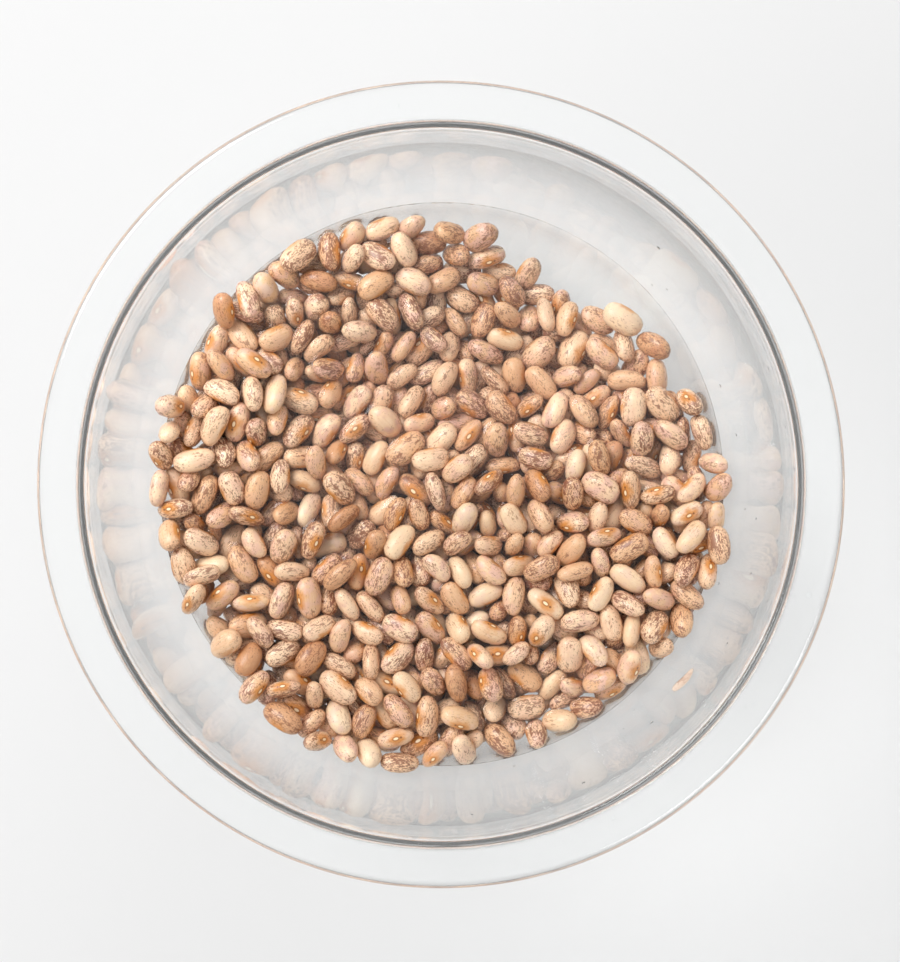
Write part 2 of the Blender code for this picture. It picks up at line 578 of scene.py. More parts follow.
@dataclass(frozen=True)
class PaleTop:
    """The plain pale surface that the bowl stands on, with a painted glow: it gives off light though it
    is no lamp, which lifts the shade under and around the bowl.

    The painted glow is a little stronger on the window's side, a painted fall of the window's light
    across the top.
    """

    name: str = "pale_top"
    light: tuple = colour(164, 164, 164)
    dark: tuple = colour(160, 160, 160)
    # painted light: how strongly the top glows, lowest away from the window and highest towards it
    glow: tuple[float, float] = (0.41, 0.50)
    painted_glow_run: tuple[float, float] = (-0.17, 0.13)
    window_side: tuple[float, float, float] = (-0.74, 0.67, 0.0)

    def material(self) -> bpy.types.Material:
        """Build the material.

        Returns:
            The material.
        """
        material, s = shader_tree(self.name)
        place = s.add("ShaderNodeTexCoord").outputs["Object"]
        cloud = s.add("ShaderNodeTexNoise", {"Vector": place, "Scale": 3.0, "Detail": 3.0})
        towards = s.vector("DOT_PRODUCT", place, self.window_side)
        # painted light: the glow grows towards the window's side, standing in for the window's light
        # falling across the top
        glow = s.ramp(towards.outputs["Value"], *self.painted_glow_run)
        s.feed(glow.inputs["To Min"], self.glow[0])
        s.feed(glow.inputs["To Max"], self.glow[1])
        sockets = {
            "Base Color": s.mix(cloud, self.light, self.dark),
            "Roughness": 0.9,
            "Specular IOR Level": 0.0,
            # painted light: the top glows though it is no lamp
            "Emission Color": (1.0, 1.0, 1.0, 1.0),
            "Emission Strength": glow,
        }
        body = s.add("ShaderNodeBsdfPrincipled", sockets)
        s.add("ShaderNodeOutputMaterial", {"Surface": body})
        return material


# ---------------------------------------------------------------- the bowl


@dataclass
class Cavity:
    """The inside of the bowl: a rounded curve turned about the bowl's axis.

    A table of how far each point is from the wall is worked out once, because the beans ask
    for it thousands of times.
    """

    radius: float
    top: float
    floor: float
    roundness: float = 2.9
    cell: float = 0.0005
    below: float = 0.01
    reach: tuple[float, float] = (0.125, 0.16)
    curve_steps: int = 400
    collar: float = 0.05
    collar_steps: int = 60
    batch: int = 8192
    clear: np.ndarray = field(init=False)
    slopes: tuple[np.ndarray, np.ndarray] = field(init=False)

    def __post_init__(self) -> None:
        """Work out the table of clearances, with a straight collar over the wall."""
        points = self.curve(np.linspace(0.0, 1.0, self.curve_steps))
        straight = np.linspace(self.top, self.top + self.collar, self.collar_steps)
        collar = np.column_stack([np.full(self.collar_steps, self.radius), straight])
        wall = np.vstack([points, collar])
        along = np.gradient(wall, axis=0)
        along /= np.linalg.norm(along, axis=1)[:, None]
        inward = np.column_stack([-along[:, 1], along[:, 0]])
        across = np.arange(0.0, self.reach[0], self.cell)
        up = np.arange(-self.below, self.reach[1], self.cell)
        grid = np.stack(np.meshgrid(across, up, indexing="ij"), -1).reshape(-1, 2)
        clear = np.empty(len(grid))
        for start in range(0, len(grid), self.batch):
            part = slice(start, start + self.batch)
            offsets = grid[part, None] - wall[None]
            squares = (offsets**2).sum(2)
            nearest = squares.argmin(1)
            rows = np.arange(len(nearest))
            side = (offsets[rows, nearest] * inward[nearest]).sum(1)
            clear[part] = np.sign(side) * np.sqrt(squares[rows, nearest])
        self.clear = clear.reshape(len(across), len(up))
        self.slopes = tuple(np.gradient(self.clear, self.cell))

    def curve(self, share: np.ndarray, outset: float = 0.0) -> np.ndarray:
        """Points of the wall in section.

        Args:
            share: places along the wall, from 0 at the floor to 1 at the upright top.
            outset: how far the points are moved into the wall.

        Returns:
            The radius and height of each point.
        """
        angle = share * math.pi / 2
        power = 2 / self.roundness
        depth = self.top - self.floor
        sine = np.sin(angle) ** power
        cosine = np.maximum(np.cos(angle), 0.0) ** power
        across = sine ** (self.roundness - 1) / self.radius
        down = cosine ** (self.roundness - 1) / depth
        length = np.hypot(across, down)
        radius = self.radius * sine + outset * across / length
        return np.column_stack([radius, self.top - depth * cosine - outset * down / length])

    def radius_at(self, height: np.ndarray | float) -> np.ndarray:
        """The inner radius at a height, or at each of several."""
        drop = np.clip((self.top - height) / (self.top - self.floor), 0.0, 1.0)
        return self.radius * (1 - drop**self.roundness) ** (1 / self.roundness)

    def clearance(self, points: np.ndarray) -> tuple[np.ndarray, np.ndarray]:
        """How far points are from the wall.

        Args:
            points: the points.

        Returns:
            Each point's distance, and the direction away from the wall.
        """
        radius = np.hypot(points[:, 0], points[:, 1])
        across = np.clip(radius / self.cell, 0, self.clear.shape[0] - 1.001)
        up = np.clip((points[:, 2] + self.below) / self.cell, 0, self.clear.shape[1] - 1.001)
        a, b = across.astype(int), up.astype(int)
        u, v = across - a, up - b

        def read(table: np.ndarray) -> np.ndarray:
            """Read a table between its cells."""
            near = table[a, b] * (1 - u) + table[a + 1, b] * u
            far = table[a, b + 1] * (1 - u) + table[a + 1, b + 1] * u
            return near * (1 - v) + far * v

        outward = points[:, :2] / np.maximum(radius, 1e-6)[:, None]
        away = np.column_stack([outward * read(self.slopes[0])[:, None], read(self.slopes[1])])
        away /= np.maximum(np.linalg.norm(away, axis=1), 1e-9)[:, None]
        return read(self.clear), away


@dataclass
class GlassBowl:
    """The mixing bowl: one turned piece of clear glass with a flat rim."""

    rim_radius: float
    rim_height: float
    cavity: Cavity
    wall: float = 0.0028
    rim_thickness: float = 0.005
    mouth_fillet: float = 0.0018
    throat_fillet: float = 0.0016
    foot_radius: float = 0.045
    foot_fillet: float = 0.001
    wall_steps: int = 56
    arc_steps: int = 12
    segments: int = 224
    ring: float = 0.05
    merge_distance: float = 0.00002

    def arc(self, centre: tuple, radius: float, start: float, end: float) -> np.ndarray:
        """Points along an arc in section, from one angle in degrees to another."""
        angle = np.radians(np.linspace(start, end, self.arc_steps + 1))
        return np.column_stack([centre[0] + radius * np.cos(angle), centre[1] + radius * np.sin(angle)])

    def profile(self) -> np.ndarray:
        """The glass in section: up the inner wall, over the flat rim and down the outside.

        Returns:
            The radius and height of each point.
        """
        cavity = self.cavity
        share = np.linspace(0.0, 1.0, self.wall_steps) ** 1.2
        inside = cavity.curve(share)[:-1]
        half = self.rim_thickness / 2
        mouth = self.arc((cavity.radius + self.mouth_fillet, cavity.top), self.mouth_fillet, 180, 90)
        edge = self.arc((self.rim_radius - half, self.rim_height - half), half, 90, -90)
        under = self.rim_height - self.rim_thickness - self.throat_fillet
        outer = cavity.radius + self.wall
        throat = self.arc((outer + self.throat_fillet, under), self.throat_fillet, 90, 180)
        foot_share = (self.foot_radius / outer) ** cavity.roundness
        depth = cavity.top / (1 - foot_share) ** (1 / cavity.roundness)
        radius = outer * np.sin(share[::-1] * math.pi / 2) ** (2 / cavity.roundness)
        height = cavity.top - depth * np.cos(share[::-1] * math.pi / 2) ** (2 / cavity.roundness)
        kept = (height > 0.3 * self.foot_fillet) & (height < under - 0.5 * self.foot_fillet)
        outside = np.column_stack([radius, height])[kept]
        foot = (self.foot_radius - self.foot_fillet, self.foot_fillet)
        base_edge = self.arc(foot, self.foot_fillet, -75, -90)
        base = [(self.foot_radius / 2, 0.0), (0.0, 0.0)]
        return np.vstack([inside, mouth, edge, throat, outside, base_edge, base])

    def turning_tree(self) -> bpy.types.NodeTree:
        """The tree that turns a section about the axis.

        Returns:
            The tree.
        """
        inputs = {"Segments": "NodeSocketInt", "Ring": "NodeSocketFloat"}
        inputs["Finish"] = "NodeSocketMaterial"
        s, given, result = geometry_tree("turned_section", inputs)
        sockets = {"Resolution": given.outputs["Segments"], "Radius": given.outputs["Ring"]}
        circle = s.add("GeometryNodeCurvePrimitiveCircle", sockets)
        section = s.add("GeometryNodeMeshToCurve", {0: given.outputs["Geometry"]})
        swept = s.add("GeometryNodeCurveToMesh", {"Curve": circle, "Profile Curve": section})
        sockets = {"Geometry": swept, "Distance": self.merge_distance}
        merged = s.add("GeometryNodeMergeByDistance", sockets)
        return s.end(result, merged, given.outputs["Finish"])

    def build(self) -> bpy.types.Object:
        """Turn the bowl.

        Returns:
            The bowl.
        """
        section = self.profile()
        points = np.array([(radius - self.ring, -height, 0.0) for radius, height in section])
        edges = [(k, k + 1) for k in range(len(points) - 1)]
        outline = mesh_object("bowl_section", points, [], edges)
        values = {"Segments": self.segments, "Ring": self.ring, "Finish": CLEAR_GLASS.material()}
        return bake_tree("mixing_bowl", outline, self.turning_tree(), values)


# ---------------------------------------------------------------- the beans


def turns_to_axes(turns: np.ndarray) -> np.ndarray:
    """Quaternions, one a row with w first, as 3 by 3 matrices.

    Args:
        turns: the quaternions.

    Returns:
        The matrices.
    """
    w, x, y, z = turns.T
    rows = [
        [1 - 2 * (y * y + z * z), 2 * (x * y - z * w), 2 * (x * z + y * w)],
        [2 * (x * y + z * w), 1 - 2 * (x * x + z * z), 2 * (y * z - x * w)],
        [2 * (x * z - y * w), 2 * (y * z + x * w), 1 - 2 * (x * x + y * y)],
    ]
    return np.moveaxis(np.array(rows), 2, 0)


def nudged(turns: np.ndarray, spin: np.ndarray) -> np.ndarray:
    """Quaternions turned a little further.

    Args:
        turns: quaternions, one a row.
        spin: how far each turns about X, Y and Z, in radians.

    Returns:
        The turned quaternions.
    """
    w, x, y, z = turns.T
    a, b, c = spin.T / 2
    steps = [-a * x - b * y - c * z, a * w + b * z - c * y, b * w + c * x - a * z, c * w + a * y - b * x]
    turned = turns + np.column_stack(steps)
    return turned / np.linalg.norm(turned, axis=1)[:, None]


def gathered(index: np.ndarray, values: np.ndarray, count: int) -> np.ndarray:
    """Vectors added up by the bean that each belongs to, for a count of beans."""
    return np.column_stack([np.bincount(index, values[:, k], count) for k in range(3)])


@dataclass
class BeanBed:
    """Where every bean lies.

    A bean is felt as four balls: two side by side at its middle and one towards each end.
    """

    cavity: Cavity
    count: int = 1120
    seed: int = 41
    length: float = 0.0136
    length_spread: float = 0.0009
    length_range: tuple[float, float] = (0.0112, 0.0156)
    uneven: float = 0.05
    share_range: tuple[float, float] = (0.88, 1.12)
    width_share: float = 0.645
    thickness_share: float = 0.79
    spacing: float = 0.0104
    half_rows: int = 12
    layers: int = 9
    lowest: float = 0.012
    shake: float = 0.0015
    start_margin: float = 0.005
    mound_lead: float = 2.3
    wall_margin: float = 0.0003
    touch_reach: float = 0.0012
    ease: float = 1.1
    most_spin: float = 0.3
    fall: tuple[float, float] = (0.0003, 0.00001)
    creep: float = 0.000004
    # each low hill or hollow: its place along X and Y, its rise and its spread
    hills: tuple[tuple[float, float, float, float], ...] = (
        (0.030, -0.015, 0.0060, 0.042),
        (-0.095, 0.010, 0.0050, 0.045),
        (-0.055, 0.085, 0.0035, 0.030),
        (0.048, 0.078, -0.0060, 0.036),
        (0.100, -0.035, 0.0050, 0.038),
        (-0.040, -0.090, 0.0055, 0.042),
    )
    place: np.ndarray = field(init=False)
    turn: np.ndarray = field(init=False)
    size: np.ndarray = field(init=False)
    ball_offsets: np.ndarray = field(init=False)
    ball_radii: np.ndarray = field(init=False)

    def __post_init__(self) -> None:
        """Draw the beans' sizes and their loose starting places."""
        rng = np.random.default_rng(self.seed)
        count = self.count
        length = np.clip(rng.normal(self.length, self.length_spread, count), *self.length_range)
        slimmer = np.clip(rng.normal(1, self.uneven, count), *self.share_range)
        width = length * self.width_share * slimmer
        flatter = np.clip(rng.normal(1, self.uneven, count), *self.share_range)
        thickness = width * self.thickness_share * flatter
        self.size = np.column_stack([length, width, thickness])
        middle = thickness / 2
        end = 0.93 * middle
        nought = np.zeros(count)
        balls = [
            (nought, width / 2 - middle),
            (nought, middle - width / 2),
            (length / 2 - end, nought),
            (end - length / 2, nought),
        ]
        self.ball_offsets = np.stack([np.column_stack([x, y, nought]) for x, y in balls], 1)
        self.ball_radii = np.column_stack([middle, middle, end, end])
        self.place = self.loose_places(rng)
        turn = rng.normal(size=(count, 4))
        self.turn = turn / np.linalg.norm(turn, axis=1)[:, None]

    def mound(self, x: np.ndarray, y: np.ndarray) -> np.ndarray:
        """How much higher than level the heap's top is meant to lie.

        Args:
            x: places along X.
            y: places along Y.

        Returns:
            The height at each place.
        """
        total = np.zeros_like(x)
        for east, north, height, width in self.hills:
            total = total + height * np.exp(-((x - east) ** 2 + (y - north) ** 2) / (2 * width**2))
        return total

    def loose_places(self, rng: np.random.Generator) -> np.ndarray:
        """Starting places: a loose lattice, filled from the bottom and following the mound.

        Args:
            rng: the source of the small unevenness.

        Returns:
            One place a bean.
        """
        steps = np.arange(-self.half_rows, self.half_rows + 1) * self.spacing
        layers = np.arange(self.layers)
        x, y, z = np.meshgrid(steps, steps, self.lowest + layers * self.spacing, indexing="ij")
        x = x + (layers % 2)[None, None] * self.spacing / 2
        places = np.column_stack([x.ravel(), y.ravel(), z.ravel()])
        places += rng.uniform(-self.shake, self.shake, places.shape)
        clear, _ = self.cavity.clearance(places)
        places = places[clear > self.start_margin]
        lift = self.mound_lead * self.mound(places[:, 0], places[:, 1])
        return places[np.argsort(places[:, 2] - lift, kind="stable")][: self.count]

    def pull(self) -> np.ndarray:
        """The direction that each bean sinks in: down, and a little towards the mound.

        Returns:
            One unit vector a bean.
        """
        step = 0.0001
        x, y = self.place[:, 0], self.place[:, 1]
        east = (self.mound(x + step, y) - self.mound(x - step, y)) / (2 * step)
        north = (self.mound(x, y + step) - self.mound(x, y - step)) / (2 * step)
        way = np.column_stack([east, north, -np.ones(self.count)])
        return way / np.linalg.norm(way, axis=1)[:, None]

    def near_pairs(self) -> tuple[np.ndarray, np.ndarray]:
        """Pairs of beans that could touch.

        Returns:
            The two beans of each pair.
        """
        squares = (self.place**2).sum(1)
        apart = squares[:, None] + squares[None] - 2 * self.place @ self.place.T
        reach = self.size[:, 0].max() + self.touch_reach
        return np.nonzero(np.triu(apart < reach**2, 1))

    def axes(self) -> np.ndarray:
        """Each bean's own axes, as the columns of a matrix."""
        return turns_to_axes(self.turn)

    def push_apart(self, first: np.ndarray, second: np.ndarray) -> None:
        """Move and turn the beans so that what overlaps overlaps less.

        Args:
            first: one bean of each near pair.
            second: the other one.
        """
        count = self.count
        inertia = (self.size[:, 0] ** 2 + self.size[:, 1] ** 2) / 20
        lever = np.einsum("nij,nkj->nki", self.axes(), self.ball_offsets)
        balls = self.place[:, None] + lever
        apart = balls[first][:, :, None] - balls[second][:, None]
        distance = np.sqrt((apart**2).sum(3))
        overlap = self.ball_radii[first][:, :, None] + self.ball_radii[second][:, None] - distance
        pair, i, j = np.nonzero(overlap > 0)
        way = apart[pair, i, j] / np.maximum(distance[pair, i, j], 1e-9)[:, None]
        a, b = first[pair], second[pair]
        arm_a = np.cross(lever[a, i] - way * self.ball_radii[a, i][:, None], way)
        arm_b = np.cross(lever[b, j] + way * self.ball_radii[b, j][:, None], way)
        weight = 2 + (arm_a**2).sum(1) / inertia[a] + (arm_b**2).sum(1) / inertia[b]
        push = (overlap[pair, i, j] / weight)[:, None]
        move = gathered(a, way * push, count) - gathered(b, way * push, count)
        spin = gathered(a, arm_a * push / inertia[a][:, None], count)
        spin -= gathered(b, arm_b * push / inertia[b][:, None], count)
        clear, inward = self.cavity.clearance(balls.reshape(-1, 3))
        sunk = self.ball_radii.ravel() + self.wall_margin - clear
        hit = np.nonzero(sunk > 0)[0]
        bean = hit // self.ball_radii.shape[1]
        way = inward[hit]
        arm = np.cross(lever.reshape(-1, 3)[hit] - way * self.ball_radii.ravel()[hit][:, None], way)
        push = (sunk[hit] / (1 + (arm**2).sum(1) / inertia[bean]))[:, None]
        move += gathered(bean, way * push, count)
        spin += gathered(bean, arm * push / inertia[bean][:, None], count)
        touches = sum(np.bincount(who, minlength=count) for who in (a, b, bean))
        share = (self.ease / np.sqrt(np.maximum(touches, 1)))[:, None]
        spin = spin * share
        most = np.maximum(np.linalg.norm(spin, axis=1), 1e-9)
        spin *= np.minimum(1.0, self.most_spin / most)[:, None]
        self.place = self.place + move * share
        self.turn = nudged(self.turn, spin)

    def settle(self, fall: int = 260, rest: int = 350, still: int = 200) -> None:
        """Let the beans sink and push each other apart until they rest.

        Args:
            fall: how many steps the beans fall for, ever more slowly.
            rest: how many steps they then creep for.
            still: how many steps they hardly sink for, to end clear of each other.
        """
        fastest, slow = self.fall
        sinking = [fastest * (1 - k / fall) ** 2 + slow for k in range(fall)]
        sinking += [slow] * rest + [self.creep] * still
        for step, sink in enumerate(sinking):
            if step % 6 == 0:
                first, second = self.near_pairs()
            self.place = self.place + sink * self.pull()
            self.push_apart(first, second)

    def top_heights(self, x: np.ndarray, y: np.ndarray) -> np.ndarray:
        """The height of the uppermost bean skin over places on a square grid.

        Args:
            x: the grid's places along X.
            y: the grid's places along Y.

        Returns:
            The height over each place of the grid, or -1 where there is no bean.
        """
        heights = np.full((len(x), len(y)), -1.0)
        cell = x[1] - x[0]
        axes = self.axes()
        for centre, turn, size in zip(self.place, axes, self.size):
            form = turn @ np.diag(4 / size**2) @ turn.T
            reach = size[0] / 2
            i0 = max(int((centre[0] - reach - x[0]) / cell), 0)
            i1 = min(int((centre[0] + reach - x[0]) / cell) + 2, len(x))
            j0 = max(int((centre[1] - reach - y[0]) / cell), 0)
            j1 = min(int((centre[1] + reach - y[0]) / cell) + 2, len(y))
            u = (x[i0:i1] - centre[0])[:, None]
            v = (y[j0:j1] - centre[1])[None]
            linear = form[0, 2] * u + form[1, 2] * v
            rest = form[0, 0] * u * u + 2 * form[0, 1] * u * v + form[1, 1] * v * v - 1
            inside = linear**2 - form[2, 2] * rest
            height = centre[2] + (np.sqrt(np.maximum(inside, 0)) - linear) / form[2, 2]
            part = heights[i0:i1, j0:j1]
            np.copyto(part, np.where(inside > 0, np.maximum(part, height), part))
        return heights


@dataclass(frozen=True)
class BeanForm:
    """One shape of bean, from -1 to 1 each way, with its eye at -Y."""

    fullness: float
    bend: float
    taper: float
    flatness: float
    around: int = 10
    rings: int = 7

    def build(self, name: str) -> bpy.types.Object:
        """Build the shape as a mesh that remembers the place of each point on the bean.

        Args:
            name: the object's name.

        Returns:
            The object.
        """
        turn = 2 * math.pi * np.arange(self.around) / self.around
        side = np.sin(turn) * np.where(np.sin(turn) < 0, self.flatness, 1.0)
        ends = [np.tile((end, -self.bend, 0.0), (self.around, 1)) for end in (1.0, -1.0)]
        rings = []
        for ring in range(1, self.rings + 1):
            angle = math.pi * ring / (self.rings + 1)
            along = math.copysign(abs(math.cos(angle)) ** (2 / self.fullness), math.cos(angle))
            girth = math.sin(angle) ** (2 / self.fullness) * (1 - self.taper * along)
            across = girth * side - self.bend * along**2 + self.bend / 3
            rings.append(np.column_stack([np.full(self.around, along), across, girth * np.cos(turn)]))
        bean = ringed_body(name, [ends[0], *rings, ends[1]])
        places = np.empty(3 * len(bean.data.vertices), dtype=np.float32)
        bean.data.vertices.foreach_get("co", places)
        give_values(bean.data, "bean_at", "FLOAT_VECTOR", places)
        return bean


@dataclass
class BeanHeap:
    """The heap: the real beans, one piece for each kind, over a smaller core."""

    bed: BeanBed
    forms: tuple[BeanForm, ...] = (
        BeanForm(2.25, 0.07, 0.04, 0.92),
        BeanForm(2.5, 0.04, -0.03, 0.96),
        BeanForm(2.15, 0.13, 0.06, 0.86),
        BeanForm(2.35, 0.09, -0.05, 0.90),
    )
    seed: int = 4
    skin_depth: float = 0.019
    wall_depth: float = 0.0105
    core_depth: float = 0.013
    core_inset: float = 0.0085
    core_window: float = 0.014
    core_margin: float = 0.001
    core_rings: int = 16
    core_segments: int = 96
    grid: float = 0.002
    half_side: float = 0.12

    def shown(self) -> np.ndarray:
        """Which beans can be seen, from above or through the glass.

        Returns:
            True for each bean that is built.
        """
        bed = self.bed
        places = np.arange(-self.half_side, self.half_side, self.grid)
        tops = bed.top_heights(places, places)
        smooth = tops.copy()
        for _ in range(3):
            around = [np.roll(smooth, shift, axis) for shift in (-1, 1) for axis in (0, 1)]
            smooth = np.maximum(smooth, np.mean(around, axis=0))
        i, j = ((bed.place[:, :2] + self.half_side) / self.grid).astype(int).T
        under = smooth[i, j] - bed.place[:, 2]
        clear, _ = bed.cavity.clearance(bed.place)
        return (under < self.skin_depth) | (clear < self.wall_depth)

    def laying_tree(self) -> bpy.types.NodeTree:
        """The tree that lays a bean at each point, by the point's own turn, size and form.

        Returns:
            The tree.
        """
        labels = [f"Form {k + 1}" for k in range(len(self.forms))]
        inputs = {label: "NodeSocketObject" for label in labels}
        s, given, result = geometry_tree("laid_beans", {**inputs, "Finish": "NodeSocketMaterial"})
        choice = s.add("GeometryNodeJoinGeometry")
        for label in labels:
            form = s.add("GeometryNodeObjectInfo", {"Object": given.outputs[label]})
            single = s.add("GeometryNodeGeometryToInstance", {0: form.outputs["Geometry"]})
            s.feed(choice.inputs[0], single)

        def own(name: str, kind: str) -> bpy.types.NodeSocket:
            """Read one of the points' own values."""
            node = s.add("GeometryNodeInputNamedAttribute", {"Name": name}, data_type=kind)
            return next(out for out in node.outputs if out.enabled)

        sockets = {
            "Points": given.outputs["Geometry"],
            "Instance": choice,
            "Pick Instance": True,
            "Instance Index": own("form", "INT"),
            "Rotation": own("turn", "QUATERNION"),
            "Scale": own("half_size", "FLOAT_VECTOR"),
        }
        laid = s.add("GeometryNodeInstanceOnPoints", sockets)
        return s.end(result, laid, given.outputs["Finish"], ("form", "turn", "half_size"))

    def build(self) -> list[bpy.types.Object]:
        """Build every kind of bean.

        Returns:
            One piece for each kind.
        """
        rng = np.random.default_rng(self.seed)
        bed = self.bed
        shown = self.shown()
        log.info("%d of %d beans can be seen", shown.sum(), bed.count)
        kinds = list(BeanKind)
        chosen = rng.choice(len(kinds), bed.count, p=[kind.share for kind in kinds])
        form = rng.integers(0, len(self.forms), bed.count)
        mix = rng.uniform(0, 1, (bed.count, 3))
        offset = rng.uniform(0, 400, (bed.count, 3))
        tree = self.laying_tree()
        forms = [one.build(f"form_{k + 1}") for k, one in enumerate(self.forms)]
        pieces = []
        for number, kind in enumerate(kinds):
            mine = np.nonzero(shown & (chosen == number))[0]
            points = mesh_object(f"{kind.label}_places", bed.place[mine], [])
            give_values(points.data, "turn", "QUATERNION", bed.turn[mine])
            give_values(points.data, "half_size", "FLOAT_VECTOR", bed.size[mine] / 2)
            give_values(points.data, "form", "INT", form[mine])
            give_values(points.data, "bean_mix", "FLOAT_VECTOR", mix[mine])
            give_values(points.data, "bean_seed", "FLOAT_VECTOR", offset[mine])
            inputs = {f"Form {k + 1}": one for k, one in enumerate(forms)}
            inputs["Finish"] = kind.skin.material()
            pieces.append(bake_tree(kind.label, points, tree, inputs))
        for one in forms:
            bpy.data.objects.remove(one, do_unlink=True)
        return pieces

    def build_core(self) -> bpy.types.Object:
        """Build the core under the beans, a closed body that stays clear of the wall.

        Returns:
            The core.
        """
        bed = self.bed
        places = np.arange(-self.half_side, self.half_side, self.grid)
        skins = bed.top_heights(places, places)
        angle = 2 * math.pi * np.arange(self.core_segments) / self.core_segments

        def surface(radius: float | np.ndarray) -> np.ndarray:
            """A ring of the core's top: the heap's mean top nearby, less the core's depth."""
            x, y = radius * np.cos(angle), radius * np.sin(angle)
            heights = np.empty(len(angle))
            for k in range(len(angle)):
                near = (places[:, None] - x[k]) ** 2 + (places[None] - y[k]) ** 2 < self.core_window**2
                near &= skins > 0
                heights[k] = np.mean(skins[near]) - self.core_depth if near.any() else 0.0
            return np.column_stack([x, y, heights])

        wall = bed.cavity.curve(np.linspace(0.0, 1.0, 60), -self.core_inset)
        wall = wall[wall[:, 0] > self.core_margin]
        reach = np.full(len(angle), wall[-1, 0])
        for radius, height in wall[::-1]:
            ring = surface(radius)
            reach = np.where(ring[:, 2] < height + self.core_margin, radius, reach)
        shares = np.linspace(0.0, 1.0, self.core_rings + 1)
        tops, floors = [], []
        for share in shares:
            ring = np.column_stack([reach * share * np.cos(angle), reach * share * np.sin(angle)])
            low = np.interp(reach * share, wall[:, 0], wall[:, 1])
            high = np.maximum(surface(reach * share)[:, 2], low)
            floors.append(np.column_stack([ring, low]))
            tops.append(np.column_stack([ring, high]))
        rings = floors[:-1] + tops[::-1]
        core = ringed_body("bean_core", rings)
        core.data.materials.append(HeapShade().material())
        return core


def ringed_body(name: str, rings: list[np.ndarray]) -> bpy.types.Object:
    """A closed body with its skin through rings of points, the first and last of them poles.

    Args:
        name: the object's name.
        rings: the rings, from the bottom pole up the outside to the top pole.

    Returns:
        The object.
    """
    around = len(rings[0])
    points = [rings[0].mean(0)]
    for ring in rings[1:-1]:
        points.extend(ring)
    points.append(rings[-1].mean(0))
    last = len(points) - 1
    faces = []
    for step in range(around):
        after = (step + 1) % around
        faces.append((0, 1 + after, 1 + step))
        faces.append((last, last - around + step, last - around + after))
        for ring in range(len(rings) - 3):
            low = 1 + ring * around
            high = low + around
            faces.append((low + step, low + after, high + after, high + step))
    return mesh_object(name, np.array(points), faces)


# ---------------------------------------------------------------- the water


